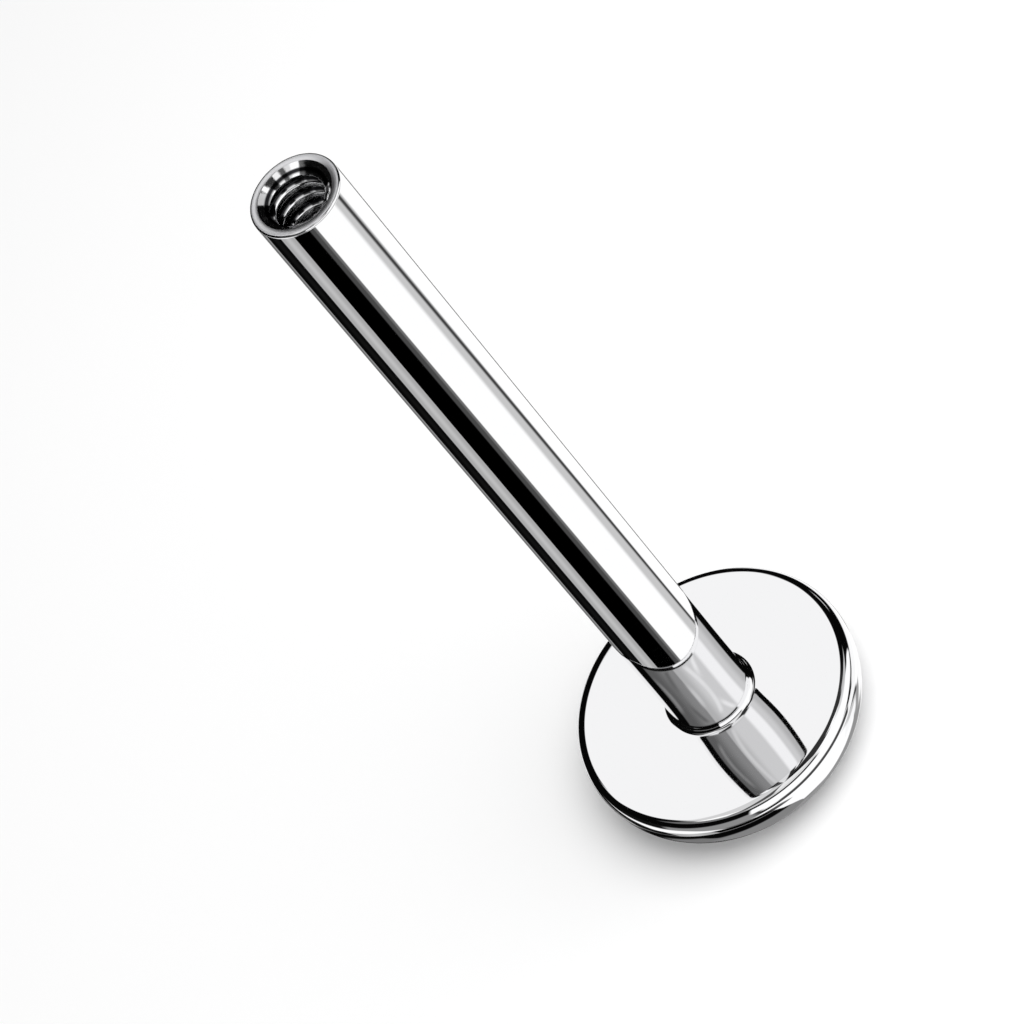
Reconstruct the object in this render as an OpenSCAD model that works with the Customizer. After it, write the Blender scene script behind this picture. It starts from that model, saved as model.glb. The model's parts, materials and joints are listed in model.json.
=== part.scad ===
// Internally threaded labret stud, unworn and without its screw-in top: a round
// post on a thin round back, turned and polished as one piece of steel.
// Millimetres, +Z along the post. The origin is the middle of the back's
// flat underside, on which the stud stands.

/* [Post] */
// Diameter of the post, 16 gauge
post_d = 1.2; // [1.2:0.05:1.6]
// Length of the post above the level of the face
post_len = 12.45; // [5:0.05:16]
// Radius of the fillet between the face and the post
foot_r = 0.08; // [0.05:0.01:0.12]
// Width of the edge break around the tip
tip_break = 0.015; // [0.01:0.005:0.05]

/* [Back] */
// Diameter of the round back
back_d = 4.14; // [3.4:0.02:6]
// Thickness of the back from its underside to the level of the face
back_t = 1.01; // [0.8:0.01:1.5]
// How much lower than that level the face lies at the rim
face_drop = 0.02; // [0.01:0.01:0.1]
// Width of the shallow sweep by which the face rises above it towards the post
sweep_w = 0.85; // [0.5:0.05:0.9]
// Height of that sweep
sweep_h = 0.02; // [0.01:0.01:0.05]
// Width of the rim's rounded upper edge
rim_top_w = 0.19; // [0.1:0.01:0.4]
// Height of the rim's rounded upper edge
rim_top_h = 0.24; // [0.1:0.01:0.4]
// Width of the rim's rounded lower edge, which reaches down to the underside
rim_low_w = 0.78; // [0.4:0.01:1.2]

/* [Thread] */
// Major diameter of the thread in the post
thread_d = 0.9; // [0.8:0.05:0.95]
// Pitch of the thread
thread_pitch = 0.225; // [0.175:0.025:0.25]
// Length of full thread below the tip
thread_len = 2.7; // [1.5:0.1:3.5]
// Diameter of the hole drilled for the tap
bore_d = 0.68; // [0.62:0.01:0.75]
// Plain drilled length below the thread
drill_over = 0.5; // [0.4:0.1:1]
// How much wider the countersunk mouth is than the thread
mouth_over = 0.08; // [0.01:0.01:0.1]

/* [Hidden] */
$fn = 96;

tip_z = back_t + post_len;
post_r = post_d / 2;
back_r = back_d / 2;

// Fullness of the rounded edges: 2 is a plain ellipse, more is squarer. The face
// stays level longer, the higher its bends are.
rim_top_power = 2.65;
rim_low_power = 2.15;
face_bend = 6;
sweep_bend = 3.6;
round_steps = 10;

// A 60 degree metric thread, whose root flat is an eighth of the pitch
root_flat = thread_pitch / 8;
bore_z = tip_z - thread_len - drill_over;

// A 120 degree countersink, whose cutter reaches on above the tip
mouth_slope = tan(60);
mouth_depth = (thread_d + mouth_over - bore_d) / 2 / mouth_slope;
cut_over = 0.1;

groove_in = 0.02;
runout_turns = 0.75;
turn_sides = 20;

// Height of the face, which bends down towards the rim and sweeps up towards the post
function face_z(x) =
    let (sweep = max(0, (post_r + sweep_w - x) / sweep_w))
    back_t - face_drop * pow(x / back_r, face_bend) + sweep_h * pow(sweep, sweep_bend);

// A quarter of a rounded section that leaves its start level and ends upright
function rounded(width, height, power) = [
    for (i = [0 : round_steps])
        let (turn = 90 * i / round_steps)
        [width * pow(sin(turn), 2 / power), height * (1 - pow(cos(turn), 2 / power))]
];

// Half section of the stud before it is drilled, from the underside round to the tip
function stud_section() =
    let (
        low = rounded(rim_low_w, face_z(back_r) - rim_top_h, rim_low_power),
        top = rounded(rim_top_w, rim_top_h, rim_top_power),
        rim_x = back_r - rim_top_w,
        foot_x = post_r + foot_r
    ) concat(
        [[0, 0]],
        [for (p = low) [back_r - rim_low_w + p[0], p[1]]],
        [for (i = [round_steps - 1 : -1 : 0]) let (x = rim_x + top[i][0]) [x, face_z(x) - top[i][1]]],
        [for (i = [1 : round_steps - 1]) let (x = rim_x + (foot_x - rim_x) * i / round_steps) [x, face_z(x)]],
        [
            for (i = [0 : round_steps])
                let (turn = 90 * i / round_steps, x = foot_x - foot_r * sin(turn))
                [x, face_z(x) + foot_r * (1 - cos(turn))]
        ],
        [[post_r, tip_z - tip_break], [post_r - tip_break, tip_z], [0, tip_z]]
    );

module turned_body() {
    rotate_extrude()
        polygon(stud_section());
}

// Depth of the groove at a turn of the helix, fading out over its last stretch
function groove_depth(turn, turns) =
    (thread_d - bore_d) / 2 * min(1, (turns - turn) / runout_turns + 0.1);

// The four corners of the groove's section at a turn of the helix
function groove_ring(turn, turns) =
    let (
        depth = groove_depth(turn, turns),
        wide = root_flat / 2 + (depth + groove_in) * tan(30),
        inner = bore_d / 2 - groove_in,
        outer = bore_d / 2 + depth,
        z = tip_z + thread_pitch - turn * thread_pitch,
        spin = -360 * turn
    ) [
        for (corner = [[inner, wide], [outer, root_flat / 2], [outer, -root_flat / 2], [inner, -wide]])
            [corner[0] * cos(spin), corner[0] * sin(spin), z + corner[1]]
    ];

// Right-hand helical groove that the tap cuts, from above the tip downwards
module thread_groove() {
    turns = thread_len / thread_pitch + 1 + runout_turns;
    rings = ceil(turns * turn_sides);
    points = [for (i = [0 : rings]) each groove_ring(turns * i / rings, turns)];
    sides = [
        for (i = [0 : rings - 1], k = [0 : 3])
            let (a = 4 * i + k, b = 4 * i + (k + 1) % 4)
            [a, b, b + 4, a + 4]
    ];
    last = 4 * rings;
    polyhedron(
        points,
        concat([[3, 2, 1, 0]], sides, [[last, last + 1, last + 2, last + 3]]),
        convexity = 10
    );
}

module threaded_bore() {
    translate([0, 0, bore_z])
        cylinder(h = tip_z - bore_z + cut_over, d = bore_d);
    // Cone left by the point of a 118 degree drill
    point = bore_d / 2 * tan(31);
    translate([0, 0, bore_z - point])
        cylinder(h = point, r1 = 0, r2 = bore_d / 2);
    // Countersunk mouth
    mouth = mouth_depth + cut_over;
    translate([0, 0, tip_z - mouth_depth])
        cylinder(h = mouth, d1 = bore_d, d2 = bore_d + 2 * mouth * mouth_slope);
    thread_groove();
}

module labret_stud() {
    color("silver")
        difference() {
            turned_body();
            threaded_bore();
        }
}

labret_stud();
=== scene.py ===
import json
import math

import bmesh
import bpy
from mathutils import Matrix, Vector


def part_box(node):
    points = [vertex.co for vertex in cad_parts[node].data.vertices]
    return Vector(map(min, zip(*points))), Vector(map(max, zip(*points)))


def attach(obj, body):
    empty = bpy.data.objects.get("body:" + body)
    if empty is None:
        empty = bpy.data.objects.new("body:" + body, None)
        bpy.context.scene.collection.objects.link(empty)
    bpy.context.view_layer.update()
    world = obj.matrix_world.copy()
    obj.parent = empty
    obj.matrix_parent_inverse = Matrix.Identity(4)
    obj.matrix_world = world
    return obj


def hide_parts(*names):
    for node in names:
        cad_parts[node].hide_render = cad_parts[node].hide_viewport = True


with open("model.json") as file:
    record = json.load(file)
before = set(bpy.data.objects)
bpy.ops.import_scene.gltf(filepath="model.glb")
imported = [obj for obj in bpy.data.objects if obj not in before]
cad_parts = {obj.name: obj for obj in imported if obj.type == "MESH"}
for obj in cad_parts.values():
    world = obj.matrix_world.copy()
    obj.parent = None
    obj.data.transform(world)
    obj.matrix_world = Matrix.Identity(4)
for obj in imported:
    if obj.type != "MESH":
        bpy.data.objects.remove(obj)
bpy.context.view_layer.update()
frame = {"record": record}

MM = 0.001

# The stud's sizes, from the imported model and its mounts
top_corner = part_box("labret_stud")[1]
mounts = {mount["name"]: mount for mount in frame["record"]["mounts"]}
TIP_Z = top_corner[2]
BACK_R = top_corner[0]
POST_R = mounts["post"]["dims"]["r_mm"] * MM
BORE_R = mounts["tip_thread"]["dims"]["r_mm"] * MM

# The back: a face that bends down at the rim and sweeps up to the post, and its two rounded edges
BACK_T = 1.01 * MM
FACE_DROP = 0.02 * MM
FACE_BEND = 6
SWEEP_W = 0.85 * MM
SWEEP_H = 0.02 * MM
SWEEP_BEND = 3.6
RIM_TOP_W = 0.19 * MM
RIM_TOP_H = 0.24 * MM
RIM_TOP_POWER = 2.65
RIM_LOW_W = 0.78 * MM
RIM_LOW_POWER = 2.15

# The fillet at the post's foot and the break round its tip
FOOT_R = 0.08 * MM
TIP_BREAK = 0.03 * MM

# The thread, M0.9 x 0.225, tapped in a drilled and countersunk hole
THREAD_R = 0.45 * MM
THREAD_PITCH = 0.225 * MM
THREAD_LEN = 2.7 * MM
VALLEY_R = 0.055 * MM
CREST_R = 0.015 * MM
FLANK_SLOPE = math.tan(math.radians(60 / 2))
MOUTH_R = 0.49 * MM
MOUTH_SLOPE = math.tan(math.radians(120 / 2))
DRILL_OVER = 0.5 * MM
DRILL_POINT = math.tan(math.radians(90 - 118 / 2))

STUD_SIDES = 256
TAP_TURNS = 14
TAP_SIDES = 64
HARD_EDGE = math.radians(28)


def arc(centre, radius, start, end, steps):
    """Points on a round stretch of an outline, from start to end in degrees."""
    points = []
    for i in range(steps + 1):
        turn = math.radians(start + (end - start) * i / steps)
        points.append((centre[0] + radius * math.cos(turn), centre[1] + radius * math.sin(turn)))
    return points


def swell(start, width, height, power, steps):
    """A quarter of a superellipse that leaves its start level and arrives upright."""
    points = []
    for i in range(steps + 1):
        turn = math.pi / 2 * i / steps
        points.append((
            start[0] + width * math.sin(turn) ** (2 / power),
            start[1] + height * (1 - math.cos(turn) ** (2 / power)),
        ))
    return points


def face_z(x):
    """Height of the face, which falls away towards the rim and sweeps up towards the post."""
    sweep = max(0, (POST_R + SWEEP_W - x) / SWEEP_W)
    return BACK_T - FACE_DROP * (x / BACK_R) ** FACE_BEND + SWEEP_H * sweep ** SWEEP_BEND


def stud_outline():
    """Half section of the stud, from the middle of the underside to the bottom of the bore."""
    # Points this close to a corner keep its shading from spreading along the straight
    guard = 0.01 * MM
    rim_x = BACK_R - RIM_TOP_W
    foot_x = POST_R + FOOT_R
    low_rim_h = face_z(BACK_R) - RIM_TOP_H
    outline = [(0, 0)]
    outline += swell((BACK_R - RIM_LOW_W, 0), RIM_LOW_W, low_rim_h, RIM_LOW_POWER, 28)
    rim = swell((rim_x, 0), RIM_TOP_W, -RIM_TOP_H, RIM_TOP_POWER, 32)
    outline += [(x, z + face_z(x)) for x, z in reversed(rim[:-1])]
    across = [rim_x - (rim_x - foot_x) * i / 40 for i in range(1, 40)]
    outline += [(x, face_z(x)) for x in across]
    fillet = arc((foot_x, FOOT_R), FOOT_R, 270, 180, 24)
    outline += [(x, z + face_z(x)) for x, z in fillet]
    outline += [(POST_R, face_z(POST_R) + FOOT_R + guard), (POST_R, TIP_Z - TIP_BREAK - guard)]
    outline += arc((POST_R - TIP_BREAK, TIP_Z - TIP_BREAK), TIP_BREAK, 0, 90, 8)
    outline += [(POST_R - TIP_BREAK - guard / 2, TIP_Z), (MOUTH_R + guard / 2, TIP_Z)]
    outline += [(MOUTH_R, TIP_Z - guard / 4), (BORE_R, TIP_Z - (MOUTH_R - BORE_R) / MOUTH_SLOPE)]
    bore_z = TIP_Z - THREAD_LEN - DRILL_OVER
    outline += [(BORE_R, bore_z), (0, bore_z - BORE_R * DRILL_POINT)]
    return outline


def shade_smooth(bm):
    """Shades the faces smooth, but leaves the real edges hard."""
    for face in bm.faces:
        face.smooth = True
    for edge in bm.edges:
        edge.smooth = len(edge.link_faces) == 2 and edge.calc_face_angle() < HARD_EDGE


def finished(bm, name):
    """Merges the doubles, turns the faces outwards and makes the object."""
    bmesh.ops.remove_doubles(bm, verts=bm.verts, dist=1e-7)
    bmesh.ops.recalc_face_normals(bm, faces=bm.faces)
    if bm.calc_volume(signed=True) < 0:
        bmesh.ops.reverse_faces(bm, faces=bm.faces)
    shade_smooth(bm)
    mesh = bpy.data.meshes.new(name)
    bm.to_mesh(mesh)
    bm.free()
    piece = bpy.data.objects.new(name, mesh)
    bpy.context.scene.collection.objects.link(piece)
    return piece


def turned(name, outline, sides):
    """A lathe-turned solid: the outline spun once round the Z axis."""
    bm = bmesh.new()
    corners = [bm.verts.new((x, 0, z)) for x, z in outline]
    edges = [bm.edges.new(pair) for pair in zip(corners, corners[1:])]
    bmesh.ops.spin(
        bm, geom=corners + edges, cent=(0, 0, 0), axis=(0, 0, 1),
        angle=2 * math.pi, steps=sides, use_merge=True,
    )
    return finished(bm, name)


def tap_outline():
    """One pitch of the tap's side: rounded valley, 60 degree flanks, eased crest."""
    root = BORE_R + 0.002 * MM
    crest = THREAD_PITCH / 16
    valley = crest + (THREAD_R - root) * FLANK_SLOPE
    half = [(root, THREAD_PITCH / 2)]
    half += arc((root + VALLEY_R, valley + VALLEY_R * FLANK_SLOPE), VALLEY_R, 180, 240, 6)
    half += arc((THREAD_R - CREST_R, crest - CREST_R * FLANK_SLOPE), CREST_R, 60, 0, 3)
    half += [(THREAD_R, 0)]
    return [(x, -z) for x, z in half] + [(x, z) for x, z in reversed(half[:-1])]


def tap():
    """The tap that cuts the thread: one pitch swept up a right-hand helix."""
    bm = bmesh.new()
    foot = TIP_Z - THREAD_LEN
    corners = [bm.verts.new((x, 0, foot + z)) for x, z in tap_outline()]
    edges = [bm.edges.new(pair) for pair in zip(corners, corners[1:])]
    bmesh.ops.spin(
        bm, geom=corners + edges, cent=(0, 0, 0), axis=(0, 0, 1), dvec=(0, 0, THREAD_PITCH / TAP_SIDES),
        angle=2 * math.pi * TAP_TURNS, steps=TAP_SIDES * TAP_TURNS,
    )
    bmesh.ops.remove_doubles(bm, verts=bm.verts, dist=2e-7)
    # Each open end is drawn together to a point on the axis
    middle = foot + 3 * THREAD_PITCH
    for at_foot, point_z in ((True, foot - THREAD_PITCH), (False, TIP_Z + 4 * THREAD_PITCH)):
        rim = [e for e in bm.edges if e.is_boundary and (e.verts[0].co.z < middle) == at_foot]
        made = bmesh.ops.extrude_edge_only(bm, edges=rim)["geom"]
        ring = [v for v in made if isinstance(v, bmesh.types.BMVert)]
        bmesh.ops.pointmerge(bm, verts=ring, merge_co=(0, 0, point_z))
    return finished(bm, "tap")


def cut(piece, tool):
    """Takes the tool's shape out of the piece."""
    taken = piece.modifiers.new("tapped", "BOOLEAN")
    taken.operation = "DIFFERENCE"
    taken.solver = "EXACT"
    taken.object = tool
    graph = bpy.context.evaluated_depsgraph_get()
    mesh = bpy.data.meshes.new_from_object(piece.evaluated_get(graph))
    piece.modifiers.clear()
    piece.data = mesh
    bm = bmesh.new()
    bm.from_mesh(mesh)
    shade_smooth(bm)
    bm.to_mesh(mesh)
    bm.free()
    bpy.data.objects.remove(tool)


def linear(hex_colour):
    """An sRGB hex colour as the linear RGBA that Blender's sockets take."""
    values = [int(hex_colour[i:i + 2], 16) / 255 for i in (1, 3, 5)]
    return [v / 12.92 if v <= 0.04045 else ((v + 0.055) / 1.055) ** 2.4 for v in values] + [1]


def add(tree, kind, settings=None, values=None, links=None):
    """Adds a node, sets its properties and socket values, and links its inputs."""
    node = tree.nodes.new(kind)
    for key, value in (settings or {}).items():
        setattr(node, key, value)
    for key, value in (values or {}).items():
        node.inputs[key].default_value = value
    for key, source in (links or {}).items():
        tree.links.new(source, node.inputs[key])
    return node


def place_on_stud(tree):
    """A point's X, Y and Z on the stud, and its distance from the axis."""
    place = add(tree, "ShaderNodeTexCoord").outputs["Object"]
    axes = add(tree, "ShaderNodeSeparateXYZ", links={0: place})
    across = add(tree, "ShaderNodeCombineXYZ", links={0: axes.outputs["X"], 1: axes.outputs["Y"]})
    radius = add(tree, "ShaderNodeVectorMath", {"operation": "LENGTH"}, links={0: across.outputs[0]})
    return axes.outputs, radius.outputs["Value"]


def lathe_marks(tree, spacing, stretch):
    """Fine marks round the stud's axis: noise read by radius and height, hardly by turn."""
    axes, radius = place_on_stud(tree)
    turn = add(tree, "ShaderNodeMath", {"operation": "ARCTAN2"}, links={0: axes["Y"], 1: axes["X"]})
    far_round = add(tree, "ShaderNodeMath", {"operation": "COSINE"}, links={0: turn.outputs[0]})
    along = add(tree, "ShaderNodeMath", {"operation": "MULTIPLY"}, {1: stretch}, {0: far_round.outputs[0]})
    spot = add(tree, "ShaderNodeCombineXYZ", links={"X": radius, "Y": along.outputs[0], "Z": axes["Z"]})
    noise = {"Scale": 1 / spacing, "Detail": 1}
    return add(tree, "ShaderNodeTexNoise", values=noise, links={"Vector": spot.outputs[0]})


def steel(name):
    """Bare stainless steel, still without its colour and surface."""
    made = bpy.data.materials.new(name)
    made.use_nodes = True
    shader = made.node_tree.nodes["Principled BSDF"]
    shader.inputs["Metallic"].default_value = 1
    return made, made.node_tree, shader


def mirror_polished_steel():
    """Surgical stainless steel buffed to a mirror: sharp reflections with a faint haze."""
    polished, tree, shader = steel("mirror_polished_steel")
    shader.inputs["Base Color"].default_value = linear("#f0f0f1")
    # Buffing leaves hairlines some 0.005 mm apart, drawn ten times as coarse to show
    hairlines = lathe_marks(tree, 0.05 * MM, 0.1 * MM)
    haze = add(
        tree, "ShaderNodeMapRange",
        values={"From Min": 0.35, "From Max": 0.75, "To Min": 0.015, "To Max": 0.045},
        links={"Value": hairlines.outputs[0]},
    )
    relief = add(
        tree, "ShaderNodeBump", values={"Strength": 0.15, "Distance": 0.0001 * MM},
        links={"Height": hairlines.outputs[0]},
    )
    tree.links.new(haze.outputs[0], shader.inputs["Roughness"])
    tree.links.new(relief.outputs[0], shader.inputs["Normal"])
    return polished


def satin_faced_steel():
    """The turned end of the post, left unbuffed: a satin grey with rings from the tool."""
    faced, tree, shader = steel("satin_faced_steel")
    shader.inputs["Roughness"].default_value = 0.28
    # The feed of the facing tool, about 0.02 mm a turn
    rings = lathe_marks(tree, 0.02 * MM, 0.02 * MM)
    tone = add(
        tree, "ShaderNodeMixRGB", values={1: linear("#e0e0e2"), 2: linear("#f2f2f4")},
        links={0: rings.outputs[0]},
    )
    relief = add(
        tree, "ShaderNodeBump", values={"Strength": 0.5, "Distance": 0.0008 * MM},
        links={"Height": rings.outputs[0]},
    )
    tree.links.new(tone.outputs[0], shader.inputs["Base Color"])
    tree.links.new(relief.outputs[0], shader.inputs["Normal"])
    return faced


def tapped_steel():
    """The tapped bore: crests and mouth painted bright as a highlight, valleys painted dark as shade."""
    tapped, tree, shader = steel("tapped_steel")
    bright, dark = linear("#fafafb"), linear("#2a2a2c")
    # From the crests at 0 through the valleys to the edge of the mouth at 1
    depth = add(
        tree, "ShaderNodeMapRange",
        values={"From Min": BORE_R, "From Max": MOUTH_R, "To Min": 0, "To Max": 1},
        links={"Value": place_on_stud(tree)[1]},
    )
    # Painted highlight on the crests and the mouth and painted shade in the valleys, set by distance from the
    # axis
    painted_light_ramp = add(tree, "ShaderNodeValToRGB", links={0: depth.outputs[0]})
    stops = painted_light_ramp.color_ramp.elements
    stops[0].position, stops[0].color = 0.14, bright
    stops[1].position, stops[1].color = 0.3, dark
    stops.new(0.5).color = dark
    stops.new(0.6).color = bright
    # Tearing along the cut, in streaks some 0.02 mm wide
    streaks = lathe_marks(tree, 0.02 * MM, 0.15 * MM)
    rough = add(
        tree, "ShaderNodeMapRange",
        values={"From Min": 0.3, "From Max": 0.7, "To Min": 0.03, "To Max": 0.12},
        links={"Value": streaks.outputs[0]},
    )
    relief = add(
        tree, "ShaderNodeBump", values={"Strength": 0.12, "Distance": 0.0006 * MM},
        links={"Height": streaks.outputs[0]},
    )
    tree.links.new(painted_light_ramp.outputs[0], shader.inputs["Base Color"])
    tree.links.new(rough.outputs[0], shader.inputs["Roughness"])
    tree.links.new(relief.outputs[0], shader.inputs["Normal"])
    return tapped


def finish_stud(piece):
    """Polish everywhere but on the end's flat ring and inside the tapped bore."""
    polish, ring, bore = range(3)
    for material in (mirror_polished_steel(), satin_faced_steel(), tapped_steel()):
        piece.data.materials.append(material)
    bore_end = TIP_Z - THREAD_LEN - DRILL_OVER - BORE_R
    for face in piece.data.polygons:
        across = math.hypot(face.center.x, face.center.y)
        depth = TIP_Z - face.center.z
        if depth < 0.002 * MM and across > MOUTH_R:
            face.material_index = ring
        elif across < MOUTH_R + 0.005 * MM and face.center.z > bore_end:
            face.material_index = bore
        else:
            face.material_index = polish


def matt_white_board():
    """Matt white photographic board."""
    board = bpy.data.materials.new("matt_white_board")
    board.use_nodes = True
    shader = board.node_tree.nodes["Principled BSDF"]
    shader.inputs["Base Color"].default_value = linear("#f4f4f4")
    shader.inputs["Roughness"].default_value = 0.8
    shader.inputs["Specular IOR Level"].default_value = 0
    return board


# The cards and soft lights round the stud in degrees, each laid over the ones before.
# Azimuth 0 is the front, -Y, and grows towards +X; height 90 is straight above.
# Name, azimuth from and to, height from and to, soft edge across and up, lean, tone
CARDS = (
    ("ground", -200, 200, -100, -66, 1, 4, 0, "#808080"),
    ("ground left", -155, -92, -68, -59, 6, 3, 0, "#727272"),
    ("floor", -14, 90, -82, -36, 2, 4, -1, "#ffffff"),
    ("floor right", 88, 168, -63, -12, 8, 8, -0.4, "#fafafa"),
    ("floor right upper", 66, 100, -60, -21, 3, 5, 0, "#f8f8f8"),
    ("rim grey right", 95, 112, -66, -44, 6, 5, 0, "#989898"),
    ("ground grey right", 92, 190, -100, -63, 10, 6, 0, "#909090"),
    ("grey left", -100, -27, -40, 2, 8, 10, 0, "#8a8a8a"),
    ("grey left dark edge", -112, -84, -22, 6, 6, 8, 0, "#101010"),
    ("pale left", -112, -60, -50, -22, 8, 8, -0.9, "#ffffff"),
    ("pale far left", -168, -142, -52, -24, 6, 8, 0, "#f0f0f0"),
    ("front", -29, 98, -10, 30, 3, 6, 0, "#ffffff"),
    ("front low", -22, 64, -22, -4, 6, 10, 0, "#ffffff"),
    ("front high", 30, 96, 20, 60, 6, 4, 0, "#ffffff"),
    ("streak", -10, 64, -33, -19, 4, 6, 0.03, "#484848"),
    ("streak right", 64, 98, -14, -2, 6, 8, 1.5, "#181818"),
    ("overhead", -14, 36, 50, 100, 6, 8, 0, "#e8e8e8"),
    ("overhead left", -190, -50, 63, 100, 8, 5, 0, "#d0d0d0"),
    ("overhead left edge", -50, -16, 64, 100, 8, 5, 0, "#505050"),
    ("overhead right", 40, 165, 60, 82, 8, 5, 0, "#303030"),
    ("behind left", -200, -134, 43, 67, 5, 4, 0, "#f4f4f4"),
    ("behind right", 162, 200, 36, 57, 6, 5, 0, "#f4f4f4"),
    ("behind left edge", -181, -148, 24, 46.5, 3, 1.5, 0, "#060606"),
    ("small light right", 127, 137, 18, 24, 5, 3, 0, "#c8c8c8"),
    ("mouth light left", -96, -60, 56, 70, 4, 2, 0, "#ffffff"),
    ("mouth light right", 68, 92, 58, 68, 4, 2, 0, "#ffffff"),
    # What the post and its reflection in the face show
    ("post strip", -200, 200, -53, -43, 1, 1.5, 0, "#ffffff"),
    ("post left edge", -172, -140, -53, -43, 24, 1.5, 0, "#686868"),
    ("post black edge", -142, -98, -53, -43, 6, 1.5, 0, "#060606"),
    ("post black edge sheen", -124, -108, -53, -43, 14, 1.5, 0, "#121212"),
    ("post grey", -98, -66, -53, -43, 3, 1.5, 0, "#a8a8a8"),
    ("post grey sheen", -88, -76, -53, -43, 12, 1.5, 0, "#bebebe"),
    ("post black", -66, -18, -53, -43, 2, 1.5, 0, "#000000"),
    ("post dark grey", -23, -8, -53, -43, 3, 1.5, -1, "#464646"),
    ("post dark grey edge", -13, -8, -53, -43, 5, 1.5, -1, "#6c6c6c"),
    ("post light right", 63, 98, -53, -43, 12, 1.5, -1.5, "#c6c6c6"),
    ("post streak", 84, 94, -53, -43, 7, 1.5, -2.6, "#404040"),
    ("post right", 96, 150, -53, -43, 6, 1.5, -1.5, "#ffffff"),
    ("post right edge", 157, 178, -53, -43, 8, 1.5, 0, "#707070"),
    ("reflected grey", -104, -34, 45, 60, 6, 2, 0, "#5e5e5e"),
    ("reflected grey lighter", -66, 20, 45, 60, 44, 2, 0, "#8a8a8a"),
    ("reflected grey cloud", -94, -84, 50, 56, 10, 2, 3, "#868686"),
    ("reflected dark cloud", -64, -54, 47, 51, 10, 2, -3, "#686868"),
    ("reflected pale", -36, 118, 45, 60, 5, 2, 0, "#bababa"),
    ("reflected far right", 110, 121, 53, 62, 4, 2, 0, "#bababa"),
    ("reflected light", -16, 96, 45, 60, 24, 2, 0, "#d6d6d6"),
    ("reflected white", 36, 71, 45, 60, 12, 2, 0, "#ffffff"),
    ("cloud left", -30, -20, 51, 59, 8, 2, 2, "#d6d6d6"),
    ("cloud middle", -6, 4, 48, 52, 8, 2, 3, "#ececec"),
    ("cloud right", 14, 24, 46, 50, 10, 2, -4, "#f4f4f4"),
)
NO_CARD_TONE = "#060606"
# The polish takes away an eighth of the light, so the cards shine a little brighter than white
CARD_STRENGTH = 1.148
PAPER_STRENGTH = 0.56


def card_mask():
    """Node group: how far a direction lies on one soft-edged card, from 0 to 1."""
    group = bpy.data.node_groups.new("card", "ShaderNodeTree")
    sockets = (
        "Azimuth", "Height", "Middle", "Half width", "Level", "Half height", "Soft across", "Soft up", "Lean",
    )
    for name in sockets:
        group.interface.new_socket(name, in_out="INPUT", socket_type="NodeSocketFloat")
    group.interface.new_socket("Mask", in_out="OUTPUT", socket_type="NodeSocketFloat")
    given = group.nodes.new("NodeGroupInput").outputs
    math_node = "ShaderNodeMath"
    above = add(group, math_node, {"operation": "SUBTRACT"}, links={0: given["Height"], 1: given["Level"]})
    shift = add(
        group, math_node, {"operation": "MULTIPLY_ADD"},
        links={0: above.outputs[0], 1: given["Lean"], 2: given["Middle"]},
    )
    aside = add(group, math_node, {"operation": "SUBTRACT"}, links={0: given["Azimuth"], 1: shift.outputs[0]})
    wrapped = add(group, math_node, {"operation": "WRAP"}, {1: 180, 2: -180}, {0: aside.outputs[0]})
    masks = []
    for offset, half, soft in ((wrapped, "Half width", "Soft across"), (above, "Half height", "Soft up")):
        away = add(group, math_node, {"operation": "ABSOLUTE"}, links={0: offset.outputs[0]})
        inside = add(group, math_node, {"operation": "SUBTRACT"}, links={0: given[half], 1: away.outputs[0]})
        eased = add(group, math_node, {"operation": "DIVIDE"}, links={0: inside.outputs[0], 1: given[soft]})
        masks.append(add(
            group, "ShaderNodeMapRange", {"interpolation_type": "SMOOTHSTEP"},
            {"From Min": -0.5, "From Max": 0.5, "To Min": 0, "To Max": 1}, {"Value": eased.outputs[0]},
        ).outputs[0])
    mask = add(group, math_node, {"operation": "MULTIPLY"}, links={0: masks[0], 1: masks[1]})
    out = group.nodes.new("NodeGroupOutput")
    group.links.new(mask.outputs[0], out.inputs["Mask"])
    return group


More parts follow.
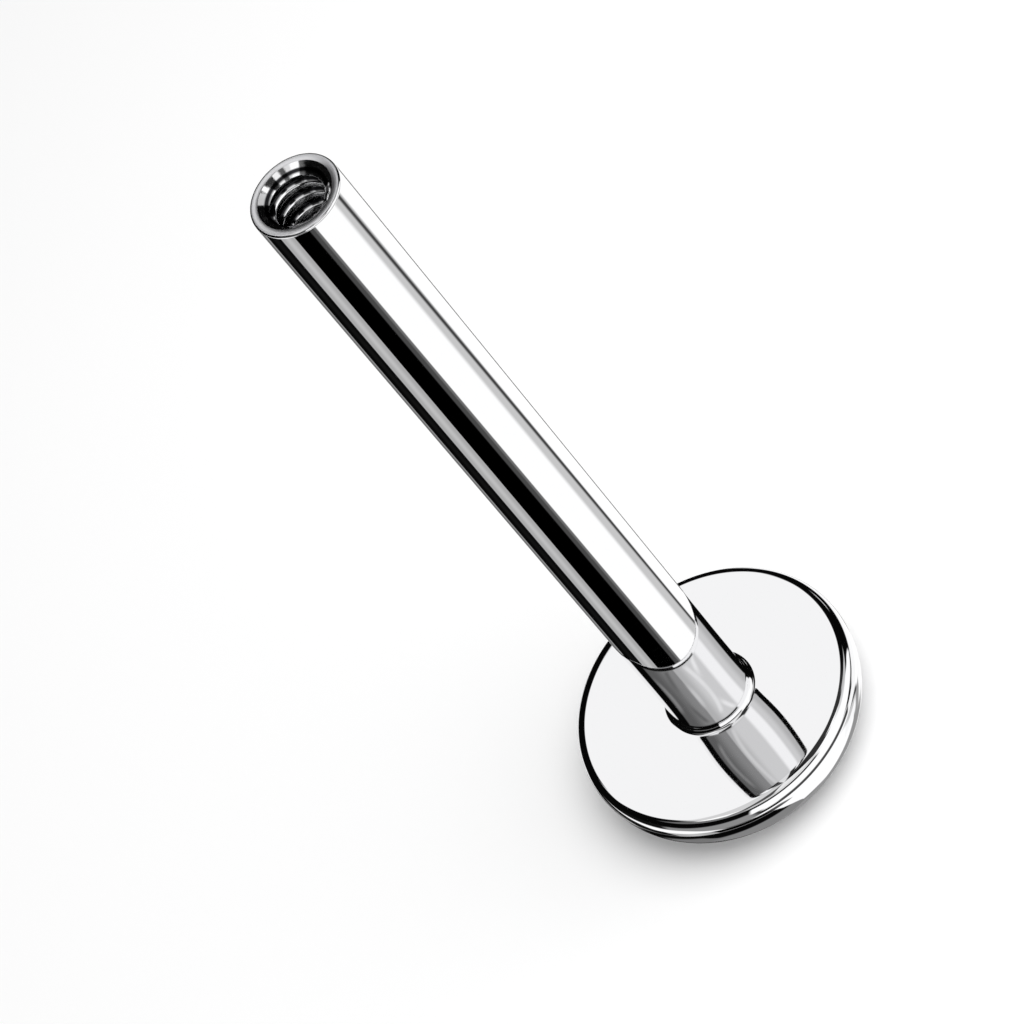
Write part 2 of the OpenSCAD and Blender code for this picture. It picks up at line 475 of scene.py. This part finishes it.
def studio():
    """White, grey and black cards all round the stud, seen only in its polish; white paper behind."""
    world = bpy.data.worlds.new("studio")
    world.use_nodes = True
    tree = world.node_tree
    tree.nodes.clear()
    ray = add(tree, "ShaderNodeTexCoord").outputs["Generated"]
    axes = add(tree, "ShaderNodeSeparateXYZ", links={0: ray})
    ahead = add(tree, "ShaderNodeMath", {"operation": "MULTIPLY"}, {1: -1}, {0: axes.outputs["Y"]})
    turn = add(
        tree, "ShaderNodeMath", {"operation": "ARCTAN2"},
        links={0: axes.outputs["X"], 1: ahead.outputs[0]},
    )
    azimuth = add(tree, "ShaderNodeMath", {"operation": "DEGREES"}, links={0: turn.outputs[0]})
    rise = add(tree, "ShaderNodeMath", {"operation": "ARCSINE"}, links={0: axes.outputs["Z"]})
    height = add(tree, "ShaderNodeMath", {"operation": "DEGREES"}, links={0: rise.outputs[0]})
    mask = card_mask()
    empty = add(tree, "ShaderNodeRGB")
    empty.outputs[0].default_value = linear(NO_CARD_TONE)
    tone = empty.outputs[0]
    for name, left, right, bottom, top, soft_across, soft_up, lean, colour in CARDS:
        card = add(tree, "ShaderNodeGroup", {"node_tree": mask, "label": name}, {
            "Middle": (left + right) / 2, "Half width": (right - left) / 2,
            "Level": (bottom + top) / 2, "Half height": (top - bottom) / 2,
            "Soft across": soft_across, "Soft up": soft_up, "Lean": lean,
        }, {"Azimuth": azimuth.outputs[0], "Height": height.outputs[0]})
        tone = add(
            tree, "ShaderNodeMixRGB", values={2: linear(colour)}, links={0: card.outputs[0], 1: tone},
        ).outputs[0]
    cards = add(tree, "ShaderNodeBackground", values={"Strength": CARD_STRENGTH}, links={"Color": tone})
    paper = add(tree, "ShaderNodeBackground", values={"Color": (1, 1, 1, 1), "Strength": PAPER_STRENGTH})
    path = add(tree, "ShaderNodeLightPath")
    seen = add(
        tree, "ShaderNodeMixShader",
        links={0: path.outputs["Is Glossy Ray"], 1: paper.outputs[0], 2: cards.outputs[0]},
    )
    add(tree, "ShaderNodeOutputWorld", links={0: seen.outputs[0]})
    bpy.context.scene.world = world


def table():
    """A wide white board under the stud, which its polish doesn't show."""
    half_width = 400 * MM
    below = 0.002 * MM
    bm = bmesh.new()
    bmesh.ops.create_grid(bm, x_segments=1, y_segments=1, size=half_width)
    bmesh.ops.translate(bm, verts=bm.verts, vec=(0, 0, -below))
    mesh = bpy.data.meshes.new("table")
    bm.to_mesh(mesh)
    bm.free()
    floor = bpy.data.objects.new("table", mesh)
    floor.data.materials.append(matt_white_board())
    floor.visible_glossy = False
    bpy.context.scene.collection.objects.link(floor)


def softbox():
    """One wide soft light above and to the right, which keeps the shadow close to the back."""
    width = 60 * MM
    distance = 60 * MM
    towards = Vector((0.33, -0.18, 1)).normalized()
    lamp = bpy.data.lights.new("softbox", "AREA")
    lamp.shape = "DISK"
    lamp.size = width
    lamp.energy = 0.031
    light = bpy.data.objects.new("softbox", lamp)
    turn = towards.to_track_quat("Z", "Y").to_matrix().to_4x4()
    light.matrix_world = Matrix.Translation(towards * distance) @ turn
    light.visible_glossy = False
    bpy.context.scene.collection.objects.link(light)


def camera():
    """The photograph's view: 49 degrees down, rolled so that the post leans to the left."""
    spot = Vector((0, -40.2844, 52.9188)) * MM
    elevation, azimuth, roll = math.radians(48.994), math.radians(-0.661), math.radians(40.323)
    view = bpy.data.cameras.new("photo_view")
    view.sensor_width = 36
    view.lens = 167.85
    view.clip_start = 0.001
    eye = bpy.data.objects.new("photo_view", view)
    ahead = Vector((
        math.sin(azimuth) * math.cos(elevation),
        math.cos(azimuth) * math.cos(elevation),
        -math.sin(elevation),
    ))
    level = ahead.cross(Vector((0, 0, 1))).normalized()
    upright = level.cross(ahead)
    up = upright * math.cos(roll) + level * math.sin(roll)
    right = ahead.cross(up)
    turn = Matrix((right, up, -ahead)).transposed()
    eye.matrix_world = Matrix.Translation(spot) @ turn.to_4x4()
    bpy.context.scene.collection.objects.link(eye)
    bpy.context.scene.camera = eye


bpy.context.scene.view_settings.view_transform = "Standard"
studio()
table()
softbox()
camera()
stud = turned("polished_stud", stud_outline(), STUD_SIDES)
cut(stud, tap())
finish_stud(stud)
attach(stud, "root")
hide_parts("labret_stud")
